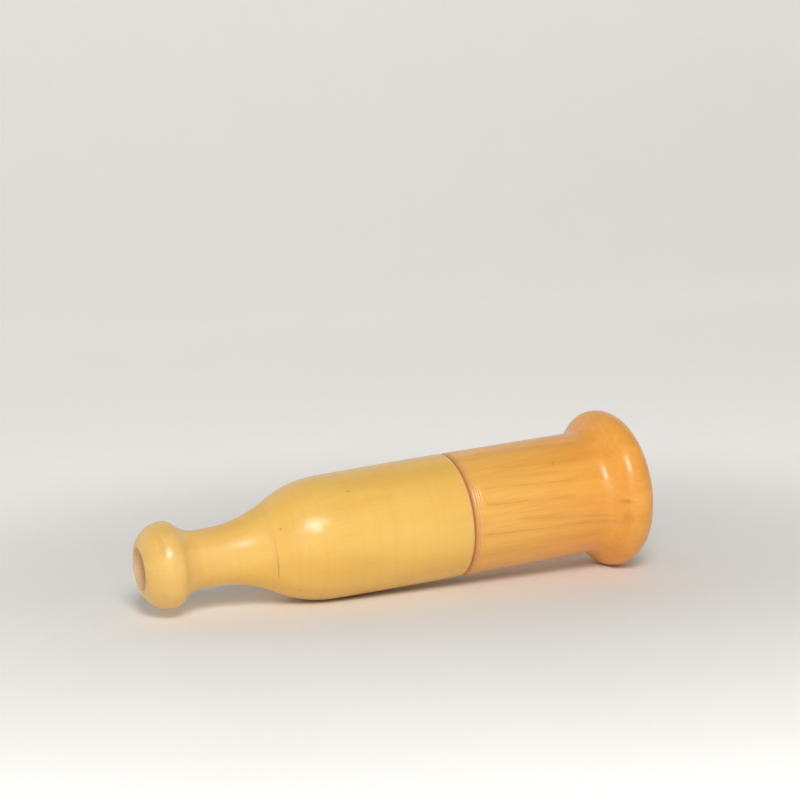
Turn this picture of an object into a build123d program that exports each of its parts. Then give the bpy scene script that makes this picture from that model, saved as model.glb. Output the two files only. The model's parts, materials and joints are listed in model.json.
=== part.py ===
from build123d import *
import os
from math import asin, atan2, copysign, cos, degrees, hypot, radians, sin, tan

# Duck call in two turned pieces of boxwood, with a reed unit inside. Millimetres.
# Each piece is drawn along the call's own axis, X: the joint between the two turned pieces is at
# X = 0, the blow hole faces -X and the bell's mouth faces +X. At the end all pieces are laid down
# together, +Z up, as the call lies by itself: on the swell of its body and on the bell's rim.

# Mouthpiece outside, as lengths that follow each other from the joint to the blow hole
BODY_RADIUS = 16.8
BODY_LENGTH = 37.0
BODY_SWELL = 1.2  # degrees that the body still rises by where it leaves the shoulder
SHOULDER_LENGTH = 31.5
SHOULDER_ROUND = 30.0
NECK_LENGTH = 3.0
NECK_RADIUS = 7.6
BALL_BACK_LENGTH = 8.5
BALL_BACK_ROUND = 4.0
BALL_CROWN_LENGTH = 7.0
BALL_RADIUS = 11.3
MOUTHPIECE_EDGE_ROUND = 1.4

# Mouthpiece inside
DISH_RADIUS = 5.5
DISH_DEPTH = 4.0
LIP_WIDTH = 0.8
LIP_ROUND = 0.35
BLOW_BORE_RADIUS = 4.0
THROAT_LENGTH = 7.0
CHAMBER_RADIUS = 9.2
CHAMBER_REACH = 13.0  # how far the chamber goes on under the shoulder
SOCKET_LEAD = 0.5

# Bell
BARREL_LENGTH = 38.0
COVE_ROUND = 5.0
FLARE_ANGLE = 44.5
RIM_OVERHANG = 5.1
RIM_ROUND = 4.7
RIM_BACK_LENGTH = 5.7
RIM_BACK_DROP = 4.2
RIM_FACE_ROUND = 0.8
BELL_EDGE_ROUND = 0.9
BELL_BORE_RADIUS = 5.4
BELL_BORE_LENGTH = 18.0
BELL_MOUTH_RADIUS = 14.0
BELL_MOUTH_ROUND = 1.0

# Tenon and its cork
TENON_LENGTH = 16.0
TENON_RADIUS = 10.9
TENON_LEAD = 0.6
CORK_LENGTH = 9.0
CORK_SETBACK = 4.0
CORK_THICKNESS = 1.15
CORK_EDGE = 0.35

# Reed unit
INSERT_RADIUS = 6.4
INSERT_DEPTH = 22.0  # from the tenon's end to the seat in the bell
PLUG_LENGTH = 9.0
NOSE_ROUND = 4.0
TABLE_HEIGHT = 1.0  # above the axis
FACING_SLOPE = 2.4
CHANNEL_RADIUS = 2.4
CHANNEL_HEIGHT = -0.8  # of the channel's own axis
CHANNEL_END_WALL = 4.0
REED_WIDTH = 10.4
REED_THICKNESS = 0.3
REED_TIP_ROUND = 3.0
REED_TIP_SETBACK = 1.0
WEDGE_PROUD = 1.5
WEDGE_TAPER = 2.3

# Clearances
JOINT_GAP = 0.05
SOCKET_CLEARANCE = 0.2
SOCKET_END_GAP = 0.5
CORK_CLEARANCE = 0.05
INSERT_CLEARANCE = 0.03
NOSE_CLEARANCE = 3.0
REED_CLEARANCE = 0.02
ROOT_CLEARANCE = 0.4

# Length of the flare: a cone, with the tangent lengths of the rounds at its two ends
flare_length = RIM_OVERHANG / tan(radians(FLARE_ANGLE))
flare_length += (COVE_ROUND + RIM_ROUND) * tan(radians(FLARE_ANGLE / 2))

# Places along the axis
shoulder_x = -BODY_LENGTH
neck_x = shoulder_x - SHOULDER_LENGTH
ball_back_x = neck_x - NECK_LENGTH
ball_x = ball_back_x - BALL_BACK_LENGTH
mouth_end_x = ball_x - BALL_CROWN_LENGTH
chamber_x = shoulder_x - CHAMBER_REACH
throat_x = chamber_x - THROAT_LENGTH
socket_x = -TENON_LENGTH - SOCKET_END_GAP
cove_x = BARREL_LENGTH
rim_x = cove_x + flare_length
bell_end_x = rim_x + RIM_BACK_LENGTH
tenon_x = JOINT_GAP - TENON_LENGTH
seat_x = tenon_x + INSERT_DEPTH
bell_mouth_x = seat_x + BELL_BORE_LENGTH
plug_x = seat_x - PLUG_LENGTH
nose_x = chamber_x + NOSE_CLEARANCE
wedge_x = tenon_x - WEDGE_PROUD
reed_tip_x = nose_x + REED_TIP_SETBACK
reed_root_x = plug_x - ROOT_CLEARANCE

# Radii and heights that follow from the ones above
shoulder_radius = BODY_RADIUS - BODY_LENGTH * tan(radians(BODY_SWELL / 2))
lip_radius = DISH_RADIUS + LIP_WIDTH
rim_radius = BODY_RADIUS + RIM_OVERHANG
rim_face_radius = rim_radius - RIM_BACK_DROP
socket_radius = TENON_RADIUS + SOCKET_CLEARANCE
cork_radius = socket_radius - CORK_CLEARANCE
cork_seat_radius = cork_radius - CORK_THICKNESS
cork_groove_radius = cork_seat_radius - CORK_CLEARANCE
insert_bore_radius = INSERT_RADIUS + INSERT_CLEARANCE
reed_underside = TABLE_HEIGHT + REED_CLEARANCE
wedge_underside = reed_underside + REED_THICKNESS + REED_CLEARANCE


def ogee(low, crest, crest_radius, crest_slope=0.0):
    """Two tangent arcs from a level low place up to a crest: a hollow one, then a round one.

    crest_slope is the angle in degrees that the outline still rises by where the crest arc ends.
    """
    side = copysign(1, crest[0] - low[0])
    slope = radians(crest_slope)
    run = abs(crest[0] - low[0]) + crest_radius * sin(slope)
    rise = crest[1] - low[1] + crest_radius * (1 - cos(slope))
    turn = 2 * atan2(rise, run)
    hollow_radius = run / sin(turn) - crest_radius
    hollow = JernArc(low, (side, 0), hollow_radius, side * degrees(turn))
    round_over = JernArc(hollow @ 1, hollow % 1, crest_radius, -side * degrees(turn - slope))
    return hollow, round_over


def level_arc(level, end):
    """An arc that starts level, along X, at one place and ends at another."""
    run = end[0] - level[0]
    rise = end[1] - level[1]
    radius = (run**2 + rise**2) / (2 * abs(rise))
    turn = 2 * atan2(rise, abs(run)) * copysign(1, run)
    return JernArc(level, (copysign(1, run), 0), radius, degrees(turn))


def soften(section, x, radius, size, cut=fillet):
    """Rounds, or chamfers, the corner of a section that lies nearest to a place on it."""
    return cut(section.vertices().sort_by_distance((x, radius))[0], size)


def turned(section):
    """The solid that a section sweeps when it turns about the axis."""
    return revolve(section, Axis.X)


def block(x_from, x_to, z_from, z_to):
    """A box as wide as the insert that is used to cut along it."""
    width = 4 * INSERT_RADIUS
    middle = ((x_from + x_to) / 2, 0, (z_from + z_to) / 2)
    return Pos(middle) * Box(x_to - x_from, width, z_to - z_from)


def rod(x_from, x_to, radius, height=0.0):
    """A round bar along the axis, or beside it at a height."""
    bar = Rot(0, 90, 0) * Cylinder(radius, x_to - x_from)
    return Pos((x_from + x_to) / 2, 0, height) * bar


def slope_cut(x_edge, z_edge, x_far, z_top, angle):
    """What lies above a plane that leaves a level edge at an angle towards x_far, up to z_top."""
    drop = abs(x_far - x_edge) * tan(radians(angle))
    outline = Polyline((x_edge, z_edge), (x_far, z_edge + drop), (x_far, z_top), (x_edge, z_top), close=True)
    return extrude(Plane.XZ * make_face(outline), 2 * INSERT_RADIUS, both=True)


def make_mouthpiece():
    crown = level_arc((ball_x, BALL_RADIUS), (mouth_end_x, lip_radius))
    ball_back = ogee((ball_back_x, NECK_RADIUS), (ball_x, BALL_RADIUS), BALL_BACK_ROUND)
    neck = Line((ball_back_x, NECK_RADIUS), (neck_x, NECK_RADIUS))
    shoulder = ogee((neck_x, NECK_RADIUS), (shoulder_x, shoulder_radius), SHOULDER_ROUND, BODY_SWELL)
    body = level_arc((0, BODY_RADIUS), (shoulder_x, shoulder_radius))
    inside = Polyline(
        (mouth_end_x, lip_radius),
        (mouth_end_x, DISH_RADIUS),
        (mouth_end_x + DISH_DEPTH, BLOW_BORE_RADIUS),
        (throat_x, BLOW_BORE_RADIUS),
        (chamber_x, CHAMBER_RADIUS),
        (socket_x, CHAMBER_RADIUS),
        (socket_x, socket_radius),
        (0, socket_radius),
        (0, BODY_RADIUS),
    )
    section = make_face([crown, *ball_back, neck, *shoulder, body, inside])
    section = soften(section, mouth_end_x, lip_radius, LIP_ROUND)
    section = soften(section, mouth_end_x, DISH_RADIUS, LIP_ROUND)
    section = soften(section, 0, BODY_RADIUS, MOUTHPIECE_EDGE_ROUND)
    section = soften(section, 0, socket_radius, SOCKET_LEAD, chamfer)
    return turned(section)


def make_bell():
    cork_end_x = -CORK_SETBACK - CORK_LENGTH
    tenon = Polyline(
        (seat_x, BELL_BORE_RADIUS),
        (seat_x, insert_bore_radius),
        (tenon_x, insert_bore_radius),
        (tenon_x, TENON_RADIUS),
        (cork_end_x, TENON_RADIUS),
        (cork_end_x, cork_groove_radius),
        (-CORK_SETBACK, cork_groove_radius),
        (-CORK_SETBACK, TENON_RADIUS),
        (JOINT_GAP, TENON_RADIUS),
        (JOINT_GAP, BODY_RADIUS),
        (cove_x, BODY_RADIUS),
    )
    cove = JernArc((cove_x, BODY_RADIUS), (1, 0), COVE_ROUND, FLARE_ANGLE)
    rim_front = JernArc((rim_x, rim_radius), (-1, 0), RIM_ROUND, FLARE_ANGLE)
    cone = Line(cove @ 1, rim_front @ 1)
    rim_back = level_arc((rim_x, rim_radius), (bell_end_x, rim_face_radius))
    face = Line((bell_end_x, rim_face_radius), (bell_end_x, BELL_MOUTH_RADIUS))
    horn = level_arc((bell_mouth_x, BELL_BORE_RADIUS), (bell_end_x, BELL_MOUTH_RADIUS))
    bore = Line((bell_mouth_x, BELL_BORE_RADIUS), (seat_x, BELL_BORE_RADIUS))
    section = make_face([tenon, cove, cone, rim_front, rim_back, face, horn, bore])
    section = soften(section, JOINT_GAP, BODY_RADIUS, BELL_EDGE_ROUND)
    section = soften(section, bell_end_x, rim_face_radius, RIM_FACE_ROUND)
    section = soften(section, bell_end_x, BELL_MOUTH_RADIUS, BELL_MOUTH_ROUND)
    section = soften(section, tenon_x, TENON_RADIUS, TENON_LEAD, chamfer)
    return turned(section)


def make_tenon_cork():
    near_x = -CORK_SETBACK - CORK_CLEARANCE
    far_x = -CORK_SETBACK - CORK_LENGTH + CORK_CLEARANCE
    outline = Polyline(
        (near_x, cork_seat_radius),
        (near_x, cork_radius),
        (far_x, cork_radius),
        (far_x, cork_seat_radius),
        close=True,
    )
    section = make_face(outline)
    section = soften(section, near_x, cork_radius, CORK_EDGE)
    section = soften(section, far_x, cork_radius, CORK_EDGE)
    return turned(section)


def make_tone_board():
    blank = rod(nose_x, seat_x, INSERT_RADIUS)
    blank = fillet(blank.edges().sort_by(Axis.X)[0], NOSE_ROUND)
    above = 2 * INSERT_RADIUS
    below_nose_x = nose_x - NOSE_ROUND
    table_cut = block(below_nose_x, plug_x, TABLE_HEIGHT, above)
    facing_cut = slope_cut(wedge_x, TABLE_HEIGHT, below_nose_x, above, -FACING_SLOPE)
    channel_x = nose_x + CHANNEL_END_WALL + CHANNEL_RADIUS
    channel = rod(channel_x, seat_x, CHANNEL_RADIUS, CHANNEL_HEIGHT)
    channel += Pos(channel_x, 0, CHANNEL_HEIGHT) * Sphere(CHANNEL_RADIUS)
    slot_top = above - CHANNEL_HEIGHT
    slot = Pos((channel_x + plug_x) / 2, 0, CHANNEL_HEIGHT + slot_top / 2) * Box(
        plug_x - channel_x, 2 * CHANNEL_RADIUS, slot_top
    )
    slot += Pos(channel_x, 0, CHANNEL_HEIGHT + slot_top / 2) * Cylinder(CHANNEL_RADIUS, slot_top)
    return blank - table_cut - facing_cut - channel - slot


def make_reed():
    length = reed_root_x - reed_tip_x
    strip = Pos((reed_tip_x + reed_root_x) / 2, 0) * Rectangle(length, REED_WIDTH)
    strip = fillet(strip.vertices().group_by(Axis.X)[0], REED_TIP_ROUND)
    return extrude(Pos(0, 0, reed_underside) * strip, REED_THICKNESS)


def make_reed_wedge():
    blank = rod(wedge_x, plug_x - INSERT_CLEARANCE, INSERT_RADIUS)
    return blank & slope_cut(wedge_x, wedge_underside, plug_x, 2 * INSERT_RADIUS, WEDGE_TAPER)


def lying_tilt():
    """Tilt of the axis, and its height at the joint, where body and rim touch one flat floor.

    The floor is the common tangent of the shoulder's round and the rim's round.
    """
    swell = radians(BODY_SWELL)
    shoulder_centre = (
        shoulder_x + SHOULDER_ROUND * sin(swell),
        shoulder_radius - SHOULDER_ROUND * cos(swell),
    )
    rim_centre = (rim_x, rim_radius - RIM_ROUND)
    run = rim_centre[0] - shoulder_centre[0]
    rise = rim_centre[1] - shoulder_centre[1]
    tilt = atan2(rise, run) - asin((SHOULDER_ROUND - RIM_ROUND) / hypot(run, rise))
    height = SHOULDER_ROUND - shoulder_centre[0] * sin(tilt) + shoulder_centre[1] * cos(tilt)
    return degrees(tilt), height


pieces = {
    "mouthpiece": make_mouthpiece(),
    "bell": make_bell(),
    "tenon_cork": make_tenon_cork(),
    "tone_board": make_tone_board(),
    "reed": make_reed(),
    "reed_wedge": make_reed_wedge(),
}

# The call is laid down, and its box is centred over the origin
axis_tilt, joint_height = lying_tilt()
laid_down = Pos(0, 0, joint_height) * Rot(0, -axis_tilt, 0)
box = Compound([laid_down * piece for piece in pieces.values()]).bounding_box()
placing = Pos(-box.center().X, 0, 0) * laid_down

os.makedirs("parts", exist_ok=True)
for name, piece in pieces.items():
    placed = placing * piece
    export_step(placed, f"parts/{name}.step")
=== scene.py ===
"""Looks of a turned boxwood duck call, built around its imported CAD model. Lengths are metres.

Sections and materials are in the call's own frame: X runs along its axis, from the joint between the two
wooden pieces towards the bell's mouth, Y points to the far side and Z up across the axis. The materials
take that frame in millimetres, with angles that rise from the front of the call to its top.
"""
import json
import math
from collections import namedtuple

import bmesh
import bpy
import numpy as np
from mathutils import Matrix, Vector


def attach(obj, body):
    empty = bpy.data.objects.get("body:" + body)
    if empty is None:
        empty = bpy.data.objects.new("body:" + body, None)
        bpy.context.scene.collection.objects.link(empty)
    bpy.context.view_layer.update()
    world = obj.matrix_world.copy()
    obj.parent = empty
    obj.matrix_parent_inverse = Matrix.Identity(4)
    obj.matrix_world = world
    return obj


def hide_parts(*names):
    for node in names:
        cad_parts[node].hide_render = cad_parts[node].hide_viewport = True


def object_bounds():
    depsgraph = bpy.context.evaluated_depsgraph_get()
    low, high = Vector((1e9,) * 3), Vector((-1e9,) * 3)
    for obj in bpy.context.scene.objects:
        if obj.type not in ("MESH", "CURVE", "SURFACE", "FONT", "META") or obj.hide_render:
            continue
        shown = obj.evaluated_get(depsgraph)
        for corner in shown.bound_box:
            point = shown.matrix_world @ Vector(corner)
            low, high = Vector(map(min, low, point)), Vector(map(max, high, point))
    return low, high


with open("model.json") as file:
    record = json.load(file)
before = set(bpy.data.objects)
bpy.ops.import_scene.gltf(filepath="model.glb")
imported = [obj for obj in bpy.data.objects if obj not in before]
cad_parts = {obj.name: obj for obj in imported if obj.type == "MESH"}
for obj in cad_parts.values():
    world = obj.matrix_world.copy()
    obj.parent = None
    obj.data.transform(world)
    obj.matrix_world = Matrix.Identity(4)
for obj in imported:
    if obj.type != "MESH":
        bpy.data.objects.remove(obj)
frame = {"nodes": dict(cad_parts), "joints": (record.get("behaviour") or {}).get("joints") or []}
cad_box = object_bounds()

MM = 0.001


# The call's own frame

def call_frame():
    """Matrix from the call's own frame to the row frame, from the joint that the bell turns on."""
    twist = next(joint for joint in frame["joints"] if joint["name"] == "bell_twist")
    along = Vector(twist["axis"])
    far = Vector((0, 1, 0))
    matrix = Matrix((along, far, along.cross(far))).transposed().to_4x4()
    matrix.translation = Vector(twist["pos_m"])
    return matrix


CALL = call_frame()


# Sections of the turned CAD nodes

SEAM_TOLERANCE = 2e-7
CORNER = math.radians(20)
OUTLINE_STEP = 0.5 * MM
LENGTHWISE = 0.99  # a heading with more than this along the axis runs lengthwise


def seam_loop(node):
    """The section of a turned CAD node in order, as (x, radius) points of the seam on its far side.

    A flat ring has no seam, so the two ends that lie in its plane are joined.
    """
    mesh = frame["nodes"][node].data
    to_call = CALL.inverted()
    seam = {}
    for vertex in mesh.vertices:
        place = to_call @ vertex.co
        if abs(place.z) < SEAM_TOLERANCE and place.y > 0:
            seam[vertex.index] = (round(place.x, 6), round(place.y, 6))
    links = {point: set() for point in seam.values()}
    for edge in mesh.edges:
        a, b = (seam.get(index) for index in edge.vertices)
        if a and b and a != b:
            links[a].add(b)
            links[b].add(a)
    ends = sorted(point for point, linked in links.items() if len(linked) == 1)
    for a, b in zip(ends[::2], ends[1::2]):
        links[a].add(b)
        links[b].add(a)
    loop = [min(links)]
    last = None
    while True:
        onward = [point for point in sorted(links[loop[-1]]) if point != last]
        last = loop[-1]
        if onward[0] == loop[0]:
            return np.array(loop)
        loop.append(onward[0])


def smooth_outline(loop, extra_places):
    """Points along a closed section, close together: cubics on its round stretches, and its corners kept.

    Returns the points and, for each, whether it is a corner. extra_places are places along the axis that
    get a point of their own on each lengthwise stretch.
    """
    ahead = np.roll(loop, -1, axis=0) - loop
    length = np.linalg.norm(ahead, axis=1)
    heading = ahead / length[:, None]
    behind = np.roll(heading, 1, axis=0)
    turn = np.arccos(np.clip(np.sum(heading * behind, axis=1), -1, 1))
    is_corner = turn > CORNER
    tangent = heading * length[:, None] + behind * np.roll(length, 1)[:, None]
    tangent /= np.linalg.norm(tangent, axis=1)[:, None]
    points, corners = [], []
    for i, start in enumerate(loop):
        j = (i + 1) % len(loop)
        leave = heading[i] if is_corner[i] else tangent[i]
        arrive = heading[i] if is_corner[j] else tangent[j]
        count = math.ceil(length[i] / OUTLINE_STEP)
        shares = [k / count for k in range(count)]
        if abs(heading[i, 0]) > LENGTHWISE:
            asked = [(place - start[0]) / ahead[i, 0] for place in extra_places]
            shares = sorted(shares + [share for share in asked if 0 < share < 1])
        for t in shares:
            pull = length[i] * (t * (1 - t) ** 2 * leave - t * t * (1 - t) * arrive)
            points.append(start + ahead[i] * t * t * (3 - 2 * t) + pull)
            corners.append(bool(is_corner[i] and t == 0))
    return np.array(points), corners


def outward(points):
    """Outward normal, as (along, away from the axis), of each stretch from a point to the next."""
    ahead = np.roll(points, -1, axis=0) - points
    normal = np.column_stack((ahead[:, 1], -ahead[:, 0])) / np.linalg.norm(ahead, axis=1)[:, None]
    area = np.sum(points[:, 0] * np.roll(points[:, 1], -1) - np.roll(points[:, 0], -1) * points[:, 1])
    return normal * math.copysign(1, area)


SEGMENTS = 192


def turned_object(name, points, corners, slots):
    """A closed turned mesh with a ring for each point; slots gives the material of each stretch."""
    turns = np.arange(SEGMENTS) * (2 * math.pi / SEGMENTS)
    radius = points[:, 1, None]
    in_call = np.stack(
        (
            np.broadcast_to(points[:, 0, None], (len(points), SEGMENTS)),
            radius * np.cos(turns),
            radius * np.sin(turns),
        ),
        axis=-1,
    ).reshape(-1, 3)
    vertices = in_call @ np.array(CALL.to_3x3()).T + np.array(CALL.translation)
    ring = np.arange(len(points))[:, None] * SEGMENTS
    next_ring = np.roll(ring, -1, axis=0)
    here = np.arange(SEGMENTS)
    beside = np.roll(here, -1)
    faces = np.stack((ring + here, ring + beside, next_ring + beside, next_ring + here), axis=-1)
    mesh = bpy.data.meshes.new(name)
    mesh.from_pydata(vertices.tolist(), [], faces.reshape(-1, 4).tolist())
    mesh.polygons.foreach_set("material_index", np.repeat(slots, SEGMENTS).tolist())
    mesh.shade_smooth()
    for edge in mesh.edges:
        a, b = (index // SEGMENTS for index in edge.vertices)
        edge.use_edge_sharp = a == b and corners[a]
    face_normals_out(mesh)
    piece = bpy.data.objects.new(name, mesh)
    bpy.context.scene.collection.objects.link(piece)
    return piece


def face_normals_out(mesh):
    work = bmesh.new()
    work.from_mesh(mesh)
    bmesh.ops.recalc_face_normals(work, faces=work.faces)
    work.to_mesh(mesh)
    work.free()


# Node trees

# A noise's patch size along the grain and across it in millimetres and its detail, the levels of the noise
# between which a second colour comes in, and its share at the low and at the high level
Layer = namedtuple("Layer", "along across detail low high least most")


class Graph:
    """A material's nodes. Each call adds one node, or a few, and returns the output to go on from."""

    def __init__(self, name):
        self.material = bpy.data.materials.new(name)
        self.material.use_nodes = True
        self.tree = self.material.node_tree
        self.tree.nodes.clear()

    def add(self, kind, inputs, output=0, **settings):
        node = self.tree.nodes.new(kind)
        for setting, value in settings.items():
            setattr(node, setting, value)
        for key, value in inputs.items():
            if isinstance(value, bpy.types.NodeSocket):
                self.tree.links.new(value, node.inputs[key])
            else:
                node.inputs[key].default_value = value
        return node.outputs[output]

    def math(self, operation, *values):
        return self.add("ShaderNodeMath", dict(enumerate(values)), operation=operation)

    def place(self):
        """The place on the piece in the call's own frame, in millimetres."""
        inputs = {"Vector": self.add("ShaderNodeTexCoord", {}, "Object")}
        inputs.update({"Location": CALL.translation, "Rotation": CALL.to_euler(), "Scale": (MM, MM, MM)})
        return self.add("ShaderNodeMapping", inputs, vector_type="TEXTURE")

    def split(self, vector):
        parts = self.tree.nodes.new("ShaderNodeSeparateXYZ")
        self.tree.links.new(vector, parts.inputs[0])
        return parts.outputs

    def turned(self, vector, degrees_y, degrees_z):
        angles = (0, math.radians(degrees_y), math.radians(degrees_z))
        return self.add("ShaderNodeMapping", {"Vector": vector, "Rotation": angles})

    def noise(self, vector, scale=1.0, detail=2.0):
        return self.add("ShaderNodeTexNoise", {"Vector": vector, "Scale": scale, "Detail": detail}, "Fac")

    def grain(self, place, along, across, detail=2.0):
        """Noise in patches of a size along the grain and another across it, in millimetres."""
        units = (1 / along, 1 / across, 1 / across)
        stretched = self.add("ShaderNodeVectorMath", {0: place, 1: units}, operation="MULTIPLY")
        return self.noise(stretched, detail=detail)

    def step(self, value, low, high, to_low=0.0, to_high=1.0):
        """A smooth step between two values."""
        inputs = {"Value": value, "From Min": low, "From Max": high, "To Min": to_low, "To Max": to_high}
        return self.add("ShaderNodeMapRange", inputs, "Result", interpolation_type="SMOOTHSTEP")

    def mix(self, share, a, b):
        """Two colours mixed, through the sockets of the Mix node that take colours."""
        return self.add("ShaderNodeMix", {0: share, 6: a, 7: b}, 2, data_type="RGBA")

    def layer(self, place, layer, colour, over):
        """A colour with a second one over it, where the layer's noise is high."""
        level = self.grain(place, layer.along, layer.across, layer.detail)
        return self.mix(self.step(level, layer.low, layer.high, layer.least, layer.most), colour, over)

    def bump(self, height, depth, normal=None):
        """A normal bent by a height from 0 to 1 that stands for a depth in millimetres."""
        inputs = {"Height": height, "Distance": depth * MM, "Strength": 1.0}
        if normal:
            inputs["Normal"] = normal
        return self.add("ShaderNodeBump", inputs)

    def finish(self, **inputs):
        """Ends in a Principled shader, whose inputs are named as in Blender, with _ for a space."""
        named = {key.replace("_", " "): value for key, value in inputs.items()}
        shader = self.add("ShaderNodeBsdfPrincipled", named)
        output = self.tree.nodes.new("ShaderNodeOutputMaterial")
        self.tree.links.new(shader, output.inputs["Surface"])
        return self.material


def srgb(red, green, blue):
    """A colour as it is read off a picture, 0 to 255, as the linear colour that nodes take."""
    def linear(level):
        share = level / 255
        return share / 12.92 if share <= 0.04045 else ((share + 0.055) / 1.055) ** 2.4

    return (linear(red), linear(green), linear(blue), 1.0)


# Marks on the wood, by their place along the axis in millimetres and their angle above the front in degrees

Streak = namedtuple("Streak", "start end start_angle end_angle width strength")
Spot = namedtuple("Spot", "place angle along across strength")
STREAK_FADE = 4.0  # millimetres at each end
STREAK_DRIFT = 0.4  # millimetres to each side
DRIFT_PATCH = (18.0, 9.0)
BREAK_PATCH = (6.0, 0.25)
BREAKS = (0.34, 0.62, 0.35, 1.0)  # two levels of the noise, and what is left of a streak at each
HALO_WIDTH = 1.9  # millimetres to each side of a streak
HALO_SHARE = 0.42
CRACK_DARKEST = 7 / 8  # of the way from its start to its end


class Marks:
    """Masks for streaks along the grain and spots, on a piece that is turned about the axis."""

    def __init__(self, graph, place):
        self.graph = graph
        self.place = place
        self.x, y, z = graph.split(place)
        front = graph.math("MULTIPLY", y, -1.0)
        self.angle = graph.math("DEGREES", graph.math("ARCTAN2", z, front))
        squares = graph.math("ADD", graph.math("MULTIPLY", y, y), graph.math("MULTIPLY", z, z))
        self.arc = graph.math("MULTIPLY", graph.math("SQRT", squares), math.radians(1))

    def streaks(self, marks):
        """Thin lines along the grain with soft halos, which stray, break and fade out at their two ends."""
        g = self.graph
        strays = g.grain(self.place, *DRIFT_PATCH, detail=1.0)
        drift = g.math("MULTIPLY_ADD", strays, 2 * STREAK_DRIFT, -STREAK_DRIFT)
        broken = g.step(g.grain(self.place, *BREAK_PATCH), *BREAKS)
        return self.together([self.streak(mark, drift, broken) for mark in marks])

    def streak(self, mark, drift, broken):
        g = self.graph
        slope = (mark.end_angle - mark.start_angle) / (mark.end - mark.start)
        centre = g.math("MULTIPLY_ADD", self.x, slope, mark.start_angle - slope * mark.start)
        beside = g.math("MULTIPLY_ADD", g.math("SUBTRACT", self.angle, centre), self.arc, drift)
        aside = g.math("ABSOLUTE", beside)
        line = g.step(aside, 0.0, mark.width, mark.strength, 0.0)
        halo = g.step(aside, 0.0, HALO_WIDTH, HALO_SHARE * mark.strength, 0.0)
        across = g.math("MAXIMUM", line, halo)
        starting = g.step(self.x, mark.start, mark.start + STREAK_FADE)
        ending = g.step(self.x, mark.end - STREAK_FADE, mark.end, 1.0, 0.0)
        along = g.math("MULTIPLY", g.math("MULTIPLY", starting, ending), broken)
        return g.math("MULTIPLY", across, along)

    def crack(self, mark):
        """A hairline round the piece, darker towards its lower end."""
        g = self.graph
        slope = (mark.end - mark.start) / (mark.end_angle - mark.start_angle)
        centre = g.math("MULTIPLY_ADD", self.angle, slope, mark.start - slope * mark.start_angle)
        beside = g.math("ABSOLUTE", g.math("SUBTRACT", self.x, centre))
        across = g.step(beside, 0.0, mark.width, mark.strength, 0.0)
        dark = mark.start_angle + CRACK_DARKEST * (mark.end_angle - mark.start_angle)
        downward = g.step(self.angle, dark, mark.start_angle, 1.0, 0.0)
        ending = g.step(self.angle, mark.end_angle, dark)
        return g.math("MULTIPLY", across, g.math("MULTIPLY", downward, ending))

    def spot(self, mark):
        """A soft round or oval spot."""
        g = self.graph
        beside = g.math("MULTIPLY", g.math("SUBTRACT", self.angle, mark.angle), self.arc)
        across = g.math("DIVIDE", beside, mark.across)
        along = g.math("DIVIDE", g.math("SUBTRACT", self.x, mark.place), mark.along)
        away = g.math("ADD", g.math("MULTIPLY", across, across), g.math("MULTIPLY", along, along))
        return g.step(away, 0.0, 1.0, mark.strength, 0.0)

    def together(self, masks):
        """The strongest of several masks."""
        strongest = masks[0]
        for mask in masks[1:]:
            strongest = self.graph.math("MAXIMUM", strongest, mask)
        return strongest


# Wood. A patch is a noise's size along the grain and across it, in millimetres. A run is two places along
# the axis in millimetres and a level at each, or two levels of a noise and what they stand for.

FIBRE_PATCH = (9.0, 0.28)
TOOL_RING_PATCH = (0.35, 40.0)
PITH = (19.0, -31.0)  # millimetres from the axis, to the far side and up
RING_WIDTH = 1.3
RING_WANDER = 3.0  # millimetres, slowly along the grain
RING_WANDER_PATCH = (60.0, 8.0)
YEAR_SPREAD = 1.6  # millimetres between a thin year and a thick one
YEAR_PATCH = (200.0, 5.0)
YEAR_STRENGTH = (0.3, 0.7, 0.35, 1.0)


def fibre_and_rings(graph, place):
    """Heights for the fine fibre of the wood, along the grain, and for the tool's fine rings."""
    return graph.grain(place, *FIBRE_PATCH), graph.grain(place, *TOOL_RING_PATCH)


def yearly_rings(graph, place):
    """Level from 0 to 1 and back across each yearly ring, round a pith that lies beside the axis."""
    y, z = graph.split(place)[1:]
    aside = graph.math("SUBTRACT", y, PITH[0])
    above = graph.math("SUBTRACT", z, PITH[1])
    squares = graph.math("ADD", graph.math("MULTIPLY", aside, aside), graph.math("MULTIPLY", above, above))
    wander = graph.grain(place, *RING_WANDER_PATCH)
    distance = graph.math("MULTIPLY_ADD", wander, RING_WANDER, graph.math("SQRT", squares))
    year = graph.grain(place, *YEAR_PATCH)
    distance = graph.math("MULTIPLY_ADD", year, YEAR_SPREAD, distance)
    level = graph.math("DIVIDE", graph.math("PINGPONG", distance, RING_WIDTH / 2), RING_WIDTH / 2)
    return graph.math("MULTIPLY", graph.step(level, 0.0, 1.0), graph.step(year, *YEAR_STRENGTH))


LACQUERED_RING_DEPTH = 0.0025
LACQUERED_FIBRE_DEPTH = 0.002
LACQUERED_ROUGHNESS = (0.2, 0.8, 0.40, 0.50)
COAT = 0.55
WORN_COAT = 0.2
COAT_PATCH = (4.0, 2.5)
COAT_DEPTH = 0.12


def lacquered(graph, place, colour, fibre, rings, coat=COAT):
    """Satin lacquer, not quite even, over wood of a colour."""
    normal = graph.bump(rings, LACQUERED_RING_DEPTH)
    normal = graph.bump(fibre, LACQUERED_FIBRE_DEPTH, normal)
    uneven = graph.grain(place, *COAT_PATCH)
    return graph.finish(
        Base_Color=colour,
        Roughness=graph.step(fibre, *LACQUERED_ROUGHNESS),
        Normal=normal,
        Specular_IOR_Level=0.3,
        Coat_Weight=coat,
        Coat_Roughness=0.21,
        Coat_IOR=1.5,
        Coat_Normal=graph.bump(uneven, COAT_DEPTH),
    )


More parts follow.
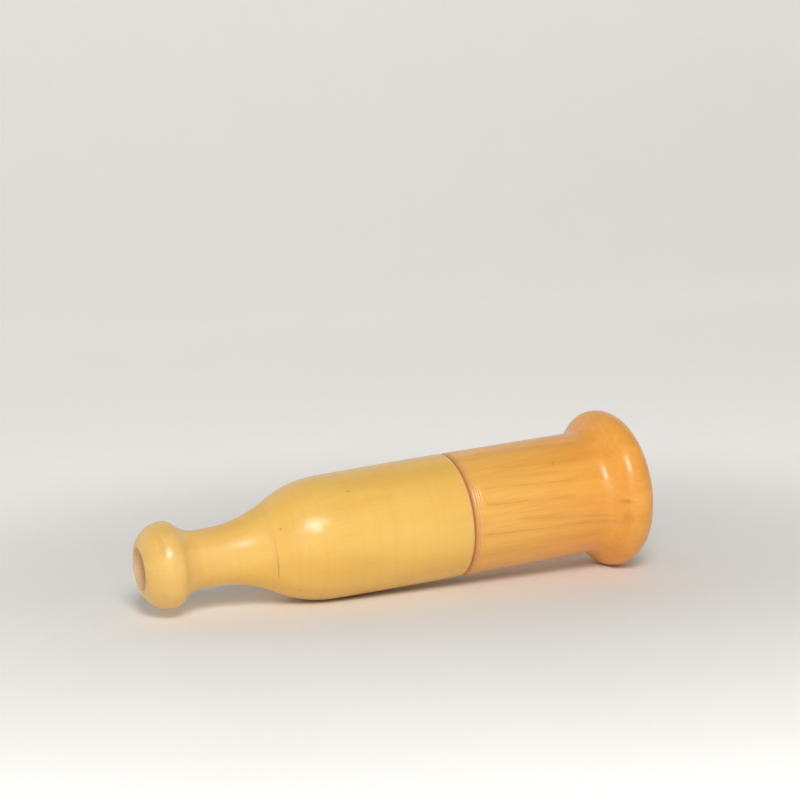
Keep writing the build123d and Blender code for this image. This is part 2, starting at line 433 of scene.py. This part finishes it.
PALE_LIGHT = srgb(241, 195, 98)
PALE_DARK = srgb(236, 185, 88)
# Partly painted reflection, partly wear: paler, less saturated colours for the ball end
PALE_LIGHT_REFLECTION_AND_WEAR = srgb(240, 196, 110)
PALE_DARK_REFLECTION_AND_WEAR = srgb(235, 186, 100)
PALE_FINE_COLOUR = srgb(205, 148, 60)
PALE_BAND_COLOUR = srgb(214, 146, 70)
PALE_MARK_COLOUR = srgb(146, 88, 44)
# Painted reflection: colour of the paler, pinkish band on the mouthpiece's rounded edge at the joint
EDGE_REFLECTION_COLOUR = srgb(242, 186, 132)
# Painted shade: colour of the darkening in the seam on the mouthpiece's side
EDGE_SEAM_SHADE_COLOUR = srgb(168, 108, 70)
PALE_TONE = Layer(40.0, 7.0, 3.0, 0.3, 0.7, 0.0, 1.0)
PALE_FINE = Layer(16.0, 0.6, 3.0, 0.45, 0.75, 0.0, 0.08)
PALE_BANDS = Layer(2.4, 90.0, 2.0, 0.45, 0.7, 0.0, 0.08)
PALE_MARKS = (
    Spot(-51.8, 32.0, 0.34, 0.5, 0.46),
    Spot(-32.5, 53.0, 0.8, 0.32, 0.40),
    Spot(-47.8, -49.0, 0.7, 0.6, 0.28),
    Spot(-82.6, 40.0, 0.9, 4.0, 0.14),
    Spot(-20.0, -128.0, 0.8, 0.3, 0.4),
    Spot(-29.0, 164.0, 0.7, 0.3, 0.4),
)
PALE_HAIRLINE = Streak(-54.0, -53.3, 40.0, -38.0, 0.32, 0.40)
# Painted reflection: where the paler, pinkish band on the rounded edge at the joint comes in
EDGE_REFLECTION = (-1.7, -0.8, 0.0, 0.7)
# Painted shade: where the mouthpiece darkens into the seam at the joint
EDGE_SEAM_SHADE = (-0.9, -0.2, 0.0, 0.2)
# Partly painted reflection, partly wear: where the wood turns paler towards the ball
BALL_END_REFLECTION_AND_WEAR = (-75.0, -50.0, 1.0, 0.0)
BALL_TO_NECK = (-77.0, -72.0, 0.0, 1.0)
NECK_TO_SHOULDER = (-60.0, -50.0, 1.0, 0.0)


def pale_boxwood():
    """The mouthpiece's wood: butter yellow, almost without figure, with a thinner coat on the neck."""
    graph = Graph("pale_boxwood_lacquered")
    place = graph.place()
    grain = graph.turned(place, 2.0, -1.5)
    fibre, rings = fibre_and_rings(graph, grain)
    marks = Marks(graph, place)
    # Partly painted reflection, partly wear: the wood paler and less saturated towards the ball end
    reflection_and_wear = graph.step(marks.x, *BALL_END_REFLECTION_AND_WEAR)
    light = graph.mix(reflection_and_wear, PALE_LIGHT, PALE_LIGHT_REFLECTION_AND_WEAR)
    dark = graph.mix(reflection_and_wear, PALE_DARK, PALE_DARK_REFLECTION_AND_WEAR)
    colour = graph.layer(grain, PALE_TONE, light, dark)
    colour = graph.layer(grain, PALE_FINE, colour, PALE_FINE_COLOUR)
    colour = graph.layer(place, PALE_BANDS, colour, PALE_BAND_COLOUR)
    spots = marks.together([marks.spot(spot) for spot in PALE_MARKS] + [marks.crack(PALE_HAIRLINE)])
    colour = graph.mix(spots, colour, PALE_MARK_COLOUR)
    # Painted reflection: the rounded edge at the joint made paler and pinkish
    colour = graph.mix(graph.step(marks.x, *EDGE_REFLECTION), colour, EDGE_REFLECTION_COLOUR)
    # Painted shade: the mouthpiece darkened right at the seam between the two pieces
    colour = graph.mix(graph.step(marks.x, *EDGE_SEAM_SHADE), colour, EDGE_SEAM_SHADE_COLOUR)
    off_ball = graph.step(marks.x, *BALL_TO_NECK)
    on_neck = graph.math("MULTIPLY", off_ball, graph.step(marks.x, *NECK_TO_SHOULDER))
    coat = graph.math("MULTIPLY_ADD", on_neck, WORN_COAT - COAT, COAT)
    return lacquered(graph, place, colour, fibre, rings, coat)


BARREL_LIGHT = srgb(246, 188, 92)
BARREL_DARK = srgb(233, 168, 74)
FLARE_LIGHT = srgb(246, 175, 75)
FLARE_DARK = srgb(234, 154, 56)
AMBER_FINE_COLOUR = srgb(196, 126, 46)
STREAK_COLOUR = srgb(168, 98, 36)
AMBER_SPOT_COLOUR = srgb(128, 66, 24)
# Painted shade: colour of the dull pinkish band on the bell beside the joint
JOINT_SHADE_BAND_COLOUR = srgb(222, 164, 112)
# Painted shade: colour of the darkening in the seam on the bell's side
JOINT_SEAM_SHADE_COLOUR = srgb(150, 92, 52)
AMBER_TONE = Layer(34.0, 4.0, 3.0, 0.3, 0.7, 0.15, 0.65)
AMBER_FINE = Layer(26.0, 0.55, 2.0, 0.50, 0.78, 0.0, 0.20)
AMBER_RING_SHARE = 0.35
STREAK_SHARE = 0.72
BELL_STREAKS = (
    Streak(2.0, 32.0, 32.0, 24.3, 0.55, 0.34),
    Streak(18.0, 33.0, 27.0, 24.9, 0.40, 0.30),
    Streak(1.5, 31.0, 16.7, 9.4, 0.55, 0.50),
    Streak(9.0, 37.0, 8.4, 3.0, 0.45, 0.20),
    Streak(0.5, 45.0, -11.1, -19.8, 0.55, 0.54),
    Streak(11.0, 42.0, -1.6, -13.8, 0.50, 0.40),
    Streak(22.0, 44.0, -7.6, -16.2, 0.42, 0.30),
    Streak(4.0, 30.0, 40.0, 34.5, 0.50, 0.24),
    Streak(8.0, 36.0, 50.0, 44.0, 0.60, 0.24),
    Streak(38.0, 46.0, 44.0, 37.2, 0.50, 0.34),
    Streak(2.0, 25.0, -33.0, -39.0, 0.55, 0.22),
    Streak(14.0, 40.0, -26.0, -33.0, 0.55, 0.20),
    Streak(4.0, 38.0, 74.0, 66.0, 0.60, 0.34),
    Streak(1.0, 24.0, 92.0, 88.0, 0.50, 0.26),
    Streak(9.0, 30.0, 112.0, 107.0, 0.60, 0.42),
    Streak(1.0, 36.0, 139.0, 131.0, 0.60, 0.46),
    Streak(16.0, 41.0, 166.0, 159.0, 0.50, 0.28),
    Streak(12.0, 40.0, -73.0, -80.0, 0.55, 0.38),
    Streak(2.0, 28.0, -94.0, -99.0, 0.50, 0.26),
    Streak(3.0, 33.0, -118.0, -125.0, 0.60, 0.46),
    Streak(8.0, 42.0, -155.0, -161.0, 0.55, 0.34),
)
BELL_SPOTS = (
    Spot(43.6, -0.2, 0.40, 0.45, 0.40),
    Spot(43.4, -0.6, 1.9, 0.8, 0.26),
    Spot(43.7, -14.0, 1.8, 2.8, 0.16),
    Spot(26.1, 44.0, 0.40, 0.8, 0.20),
    Spot(12.0, 150.0, 0.7, 0.5, 0.4),
)
BARREL_TO_FLARE = (8.0, 40.0, 0.0, 1.0)
# Painted shade: where the dull pinkish band on the bell beside the joint fades out
JOINT_SHADE_BAND = (1.0, 3.0, 0.35, 0.0)
# Painted shade: where the bell darkens into the seam at the joint
JOINT_SEAM_SHADE = (0.3, 1.3, 0.3, 0.0)


def amber_boxwood():
    """The bell's wood: amber, with fine brown streaks along the grain."""
    graph = Graph("amber_boxwood_lacquered")
    place = graph.place()
    grain = graph.turned(place, 0.0, -3.0)
    fibre, rings = fibre_and_rings(graph, grain)
    marks = Marks(graph, place)
    on_flare = graph.step(marks.x, *BARREL_TO_FLARE)
    light = graph.mix(on_flare, BARREL_LIGHT, FLARE_LIGHT)
    dark = graph.mix(on_flare, BARREL_DARK, FLARE_DARK)
    colour = graph.layer(grain, AMBER_TONE, light, dark)
    late = graph.math("MULTIPLY", yearly_rings(graph, grain), AMBER_RING_SHARE)
    colour = graph.mix(late, colour, dark)
    colour = graph.layer(grain, AMBER_FINE, colour, AMBER_FINE_COLOUR)
    streaks = graph.math("MULTIPLY", marks.streaks(BELL_STREAKS), STREAK_SHARE)
    colour = graph.mix(streaks, colour, STREAK_COLOUR)
    spots = marks.together([marks.spot(spot) for spot in BELL_SPOTS])
    colour = graph.mix(spots, colour, AMBER_SPOT_COLOUR)
    # Painted shade: the bell's first millimetres beside the joint made duller and pinkish
    colour = graph.mix(graph.step(marks.x, *JOINT_SHADE_BAND), colour, JOINT_SHADE_BAND_COLOUR)
    # Painted shade: the bell darkened right at the seam between the two pieces
    colour = graph.mix(graph.step(marks.x, *JOINT_SEAM_SHADE), colour, JOINT_SEAM_SHADE_COLOUR)
    return lacquered(graph, place, colour, fibre, rings)


BARE_TONE = Layer(30.0, 9.0, 2.0, 0.3, 0.7, 0.0, 0.5)
BARE_PORES = Layer(9.0, 0.3, 2.0, 0.5, 0.8, 0.0, 0.35)
BARE_RING_SHARE = 0.42
BARE_TOOL_LINES = (0.5, 0.8, 0.0, 0.15)
BARE_LINE_DEPTH = 0.02
BARE_FIBRE_DEPTH = 0.012
BARE_ROUGHNESS = (0.2, 0.8, 0.6, 0.75)
# Painted shade: the blow bore darkened from the dish's end up to the chamber
DISH_TO_BORE = (-85.2, -83.8, 0.0, 0.75)
BORE_TO_CHAMBER = (-57.0, -50.0, 1.0, 0.0)
BORE_SHADE_COLOUR = srgb(96, 62, 36)


def bare_wood(name, light, dark, shaded_bore=False):
    """Wood without lacquer, as the tool left it: fine tool lines, and pale.

    With shaded_bore, painted shade darkens the blow bore, from the dish to the chamber.
    """
    graph = Graph(name)
    place = graph.place()
    fibre, lines = fibre_and_rings(graph, place)
    colour = graph.layer(place, BARE_TONE, light, dark)
    colour = graph.layer(place, BARE_PORES, colour, dark)
    late = graph.math("MULTIPLY", yearly_rings(graph, place), BARE_RING_SHARE)
    colour = graph.mix(late, colour, dark)
    colour = graph.mix(graph.step(lines, *BARE_TOOL_LINES), colour, dark)
    # Painted shade: the blow bore made dark, from the dish to the chamber
    if shaded_bore:
        x = graph.split(place)[0]
        before_chamber = graph.step(x, *BORE_TO_CHAMBER)
        bore = graph.math("MULTIPLY", graph.step(x, *DISH_TO_BORE), before_chamber)
        colour = graph.mix(bore, colour, BORE_SHADE_COLOUR)
    normal = graph.bump(lines, BARE_LINE_DEPTH)
    normal = graph.bump(fibre, BARE_FIBRE_DEPTH, normal)
    return graph.finish(Base_Color=colour, Roughness=graph.step(fibre, *BARE_ROUGHNESS), Normal=normal)


# Cork and brass

CORK_LIGHT = srgb(196, 150, 100)
CORK_DARK = srgb(160, 112, 68)
CORK_PATCH_COLOUR = srgb(116, 76, 42)
CORK_JOINT_COLOUR = srgb(84, 52, 28)
CORK_PORE_COLOUR = srgb(60, 36, 20)
CORK_GRAINS = 0.9  # in a millimetre, as the patches and pores are
CORK_PATCHES = 1.3
CORK_PATCH_SHARE = (0.55, 0.75, 0.0, 0.5)
CORK_PORES = 3.0
CORK_PORE_SHARE = (0.66, 0.74, 0.0, 0.8)
CORK_JOINT_SHARE = (0.0, 0.07, 0.55, 0.0)
CORK_DEPTH = 0.12


def cork():
    """Pressed cork: pale brown grains with darker joints and pores."""
    graph = Graph("cork_grains")
    grains = {"Vector": graph.place(), "Scale": CORK_GRAINS}
    cells = graph.add("ShaderNodeTexVoronoi", grains, "Color")
    edge = graph.add("ShaderNodeTexVoronoi", grains, "Distance", feature="DISTANCE_TO_EDGE")
    grey = graph.add("ShaderNodeRGBToBW", {"Color": cells})
    colour = graph.mix(grey, CORK_LIGHT, CORK_DARK)
    patches = graph.noise(grains["Vector"], CORK_PATCHES)
    colour = graph.mix(graph.step(patches, *CORK_PATCH_SHARE), colour, CORK_PATCH_COLOUR)
    joint = graph.step(edge, *CORK_JOINT_SHARE)
    colour = graph.mix(joint, colour, CORK_JOINT_COLOUR)
    pores = graph.step(graph.noise(grains["Vector"], CORK_PORES), *CORK_PORE_SHARE)
    colour = graph.mix(pores, colour, CORK_PORE_COLOUR)
    height = graph.math("SUBTRACT", 1.0, graph.math("MAXIMUM", joint, pores))
    return graph.finish(Base_Color=colour, Roughness=0.85, Normal=graph.bump(height, CORK_DEPTH))


BRASS_LIGHT = srgb(228, 190, 112)
BRASS_DARK = srgb(205, 162, 86)
TARNISH_COLOUR = srgb(150, 108, 58)
BRUSHED_PATCH = (30.0, 0.12)
BRUSHED_TONE = (0.3, 0.7)
BRUSHED_ROUGHNESS = (0.3, 0.7, 0.24, 0.38)
BRUSHED_DEPTH = 0.004
TARNISH = Layer(6.0, 3.0, 4.0, 0.5, 0.75, 0.0, 0.5)


def reed_brass():
    """Thin rolled brass, brushed along its length and a little tarnished."""
    graph = Graph("rolled_brass")
    place = graph.place()
    brushed = graph.grain(place, *BRUSHED_PATCH, detail=3.0)
    colour = graph.mix(graph.step(brushed, *BRUSHED_TONE), BRASS_LIGHT, BRASS_DARK)
    colour = graph.layer(place, TARNISH, colour, TARNISH_COLOUR)
    return graph.finish(
        Base_Color=colour,
        Metallic=1.0,
        Roughness=graph.step(brushed, *BRUSHED_ROUGHNESS),
        Normal=graph.bump(brushed, BRUSHED_DEPTH),
    )


# Pieces

OUTSIDE = -0.2  # an outside face's normal has at least this away from the axis
END_FACE = 0.99  # an end face's normal has at least this along the axis
RIM_FACE = 0.9
BARREL_SHARE = 0.75  # of the rim's radius, near enough
ABOVE_TENON = 0.9  # of the barrel's radius, which the tenon doesn't reach
ON_BARREL = 0.99
TOOL_LINES = (1.3 * MM, 1.9 * MM, 2.6 * MM)
TOOL_LINE_WIDTH = 0.5 * MM
TOOL_LINE_DEPTH = 0.08 * MM
TOOL_LINE_POINTS = (-0.5, -0.35, -0.2, 0.0, 0.2, 0.35, 0.5)


def finished_mouthpiece(_, normals):
    """Which stretches are lacquered: the outside, but not the face at the joint."""
    return (normals[:, 1] > OUTSIDE) & (normals[:, 0] < END_FACE)


def finished_bell(points, normals):
    """Which stretches are lacquered: the outside from the joint on, and the rim's face."""
    barrel = BARREL_SHARE * points[:, 1].max()
    on_rim = normals[:, 0] > RIM_FACE
    past_joint = (points[:, 1] > ABOVE_TENON * barrel) & (normals[:, 0] > -END_FACE)
    return (normals[:, 1] > OUTSIDE) & (on_rim | past_joint)


def cut_tool_lines(points):
    """Fine lines that the tool left round the bell beside the joint."""
    barrel = points[np.abs(points[:, 0] - TOOL_LINES[0]) < TOOL_LINE_WIDTH][:, 1].max()
    on_barrel = points[:, 1] > ON_BARREL * barrel
    for line in TOOL_LINES:
        share = np.clip((points[:, 0] - line) / TOOL_LINE_WIDTH, -0.5, 0.5)
        points[:, 1] -= on_barrel * TOOL_LINE_DEPTH * np.cos(math.pi * share) ** 2


def turned_piece(node, body, finished, outside, inside, extra_places=(), shape=None):
    """A finely turned copy of a CAD node, with one material outside and another inside."""
    points, corners = smooth_outline(seam_loop(node), extra_places)
    slots = np.where(finished(points, outward(points)), 0, 1)
    if shape:
        shape(points)
    piece = turned_object(node + "_turned", points, corners, slots)
    piece.data.materials.append(outside)
    piece.data.materials.append(inside)
    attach(piece, body)
    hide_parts(node)


def dress_node(node, material):
    """A CAD node that keeps its shape gets a better material."""
    mesh = frame["nodes"][node].data
    mesh.materials.clear()
    mesh.materials.append(material)


# The mouthpiece's inside has painted shade in its blow bore
bare_pale = bare_wood("pale_boxwood_bare", srgb(236, 199, 150), srgb(220, 178, 125), shaded_bore=True)
bare_amber = bare_wood("amber_boxwood_bare", srgb(232, 192, 132), srgb(210, 162, 98))
insert_wood = bare_wood("insert_wood_oiled", srgb(206, 158, 92), srgb(176, 124, 64))
cork_material = cork()

turned_piece("mouthpiece", "mouthpiece", finished_mouthpiece, pale_boxwood(), bare_pale)
line_places = [line + share * TOOL_LINE_WIDTH for line in TOOL_LINES for share in TOOL_LINE_POINTS]
turned_piece(
    "bell", "bell", finished_bell, amber_boxwood(), bare_amber, line_places, cut_tool_lines
)
dress_node("tenon_cork", cork_material)
dress_node("reed_wedge", cork_material)
dress_node("tone_board", insert_wood)
dress_node("reed", reed_brass())


# Stage

FLOOR_HALF_WIDTH = 4.0
FLOOR_FRONT = -4.0
FLOOR_BACK = 0.9
SWEEP_RADIUS = 0.5
WALL_TOP = 1.8
SWEEP_STEPS = 24
PAPER_LIGHT = (0.90, 0.89, 0.87, 1.0)
PAPER_DARK = (0.86, 0.85, 0.83, 1.0)
PAPER_PATCHES = 0.02  # in a millimetre
PAPER_GLOW_COLOUR = (1.0, 0.98, 0.95, 1.0)
PAPER_GLOW = (30.0, 280.0, 0.0, 0.32)  # millimetres from the joint, and the glow at each


def studio_floor():
    """A pale floor that sweeps up into a wall behind the call, and glows a little away from it."""
    profile = [(FLOOR_FRONT, 0.0)]
    for step in range(SWEEP_STEPS + 1):
        turn = math.pi / 2 * step / SWEEP_STEPS
        profile.append((FLOOR_BACK + SWEEP_RADIUS * math.sin(turn), SWEEP_RADIUS * (1 - math.cos(turn))))
    profile.append((FLOOR_BACK + SWEEP_RADIUS, WALL_TOP))
    vertices = [(side * FLOOR_HALF_WIDTH, y, z) for y, z in profile for side in (-1, 1)]
    faces = [(2 * i, 2 * i + 1, 2 * i + 3, 2 * i + 2) for i in range(len(profile) - 1)]
    mesh = bpy.data.meshes.new("studio_floor")
    mesh.from_pydata(vertices, [], faces)
    mesh.shade_smooth()
    graph = Graph("studio_paper")
    place = graph.place()
    patches = graph.noise(place, PAPER_PATCHES)
    away = graph.add("ShaderNodeVectorMath", {0: place}, "Value", operation="LENGTH")
    mesh.materials.append(
        graph.finish(
            Base_Color=graph.mix(patches, PAPER_DARK, PAPER_LIGHT),
            Roughness=0.9,
            Specular_IOR_Level=0.1,
            Emission_Color=PAPER_GLOW_COLOUR,
            Emission_Strength=graph.step(away, *PAPER_GLOW),
        )
    )
    floor = bpy.data.objects.new("studio_floor", mesh)
    bpy.context.scene.collection.objects.link(floor)


# Degrees to the right of the call's front and above the floor, metres away, metres across, and watts
Light = namedtuple("Light", "name azimuth elevation distance width height power")
LIGHTS = (
    Light("key", -17, 36, 0.7, 0.23, 0.28, 2.95),
    Light("fill", -32, 12, 0.8, 0.5, 0.5, 0.55),
)


def area_light(lamp):
    """A soft light that faces the call's middle."""
    low, high = cad_box
    centre = (low + high) / 2
    turn, rise = math.radians(lamp.azimuth), math.radians(lamp.elevation)
    back = Vector((math.sin(turn) * math.cos(rise), -math.cos(turn) * math.cos(rise), math.sin(rise)))
    data = bpy.data.lights.new(lamp.name, "AREA")
    data.shape = "ELLIPSE"
    data.size = lamp.width
    data.size_y = lamp.height
    data.energy = lamp.power
    light = bpy.data.objects.new(lamp.name, data)
    light.location = centre + back * lamp.distance
    light.rotation_mode = "QUATERNION"
    light.rotation_quaternion = back.to_track_quat("Z", "Y")
    bpy.context.scene.collection.objects.link(light)


WORLD_COLOUR = (1.0, 0.97, 0.93, 1.0)
HORIZON_LEVEL = 0.44
ZENITH_LEVEL = 0.18


def studio_world():
    """Soft light from all round, weaker from above."""
    world = bpy.data.worlds.new("studio_world")
    world.use_nodes = True
    tree = world.node_tree
    direction = tree.nodes.new("ShaderNodeTexCoord")
    parts = tree.nodes.new("ShaderNodeSeparateXYZ")
    level = tree.nodes.new("ShaderNodeMapRange")
    level.inputs["To Min"].default_value = HORIZON_LEVEL
    level.inputs["To Max"].default_value = ZENITH_LEVEL
    background = tree.nodes["Background"]
    tree.links.new(direction.outputs["Generated"], parts.inputs[0])
    tree.links.new(parts.outputs["Z"], level.inputs["Value"])
    tree.links.new(level.outputs["Result"], background.inputs["Strength"])
    background.inputs["Color"].default_value = WORLD_COLOUR
    bpy.context.scene.world = world


EYE = Vector((-185.4, -451.0, 111.1)) * MM
YAW, PITCH, ROLL = math.radians(22.658), math.radians(-6.988), math.radians(-1.622)
FOCAL_PIXELS = 1848.0
IMAGE_PIXELS = 800
SENSOR_WIDTH = 36.0  # millimetres, as a camera takes it
CLIP_START = 10 * MM


def photo_camera():
    """The camera at the photograph's viewpoint; yaw turns it to the right of +Y."""
    forward = Vector((math.sin(YAW) * math.cos(PITCH), math.cos(YAW) * math.cos(PITCH), math.sin(PITCH)))
    level = Vector((math.cos(YAW), -math.sin(YAW), 0))
    upright = level.cross(forward)
    right = level * math.cos(ROLL) + upright * math.sin(ROLL)
    data = bpy.data.cameras.new("photo_camera")
    data.sensor_width = SENSOR_WIDTH
    data.lens = FOCAL_PIXELS / IMAGE_PIXELS * SENSOR_WIDTH
    data.clip_start = CLIP_START
    camera = bpy.data.objects.new("photo_camera", data)
    turn = Matrix((right, right.cross(forward), -forward)).transposed().to_4x4()
    camera.matrix_world = Matrix.Translation(EYE) @ turn
    bpy.context.scene.collection.objects.link(camera)
    bpy.context.scene.camera = camera


studio_floor()
studio_world()
for lamp in LIGHTS:
    area_light(lamp)
photo_camera()
bpy.context.scene.view_settings.view_transform = "Standard"
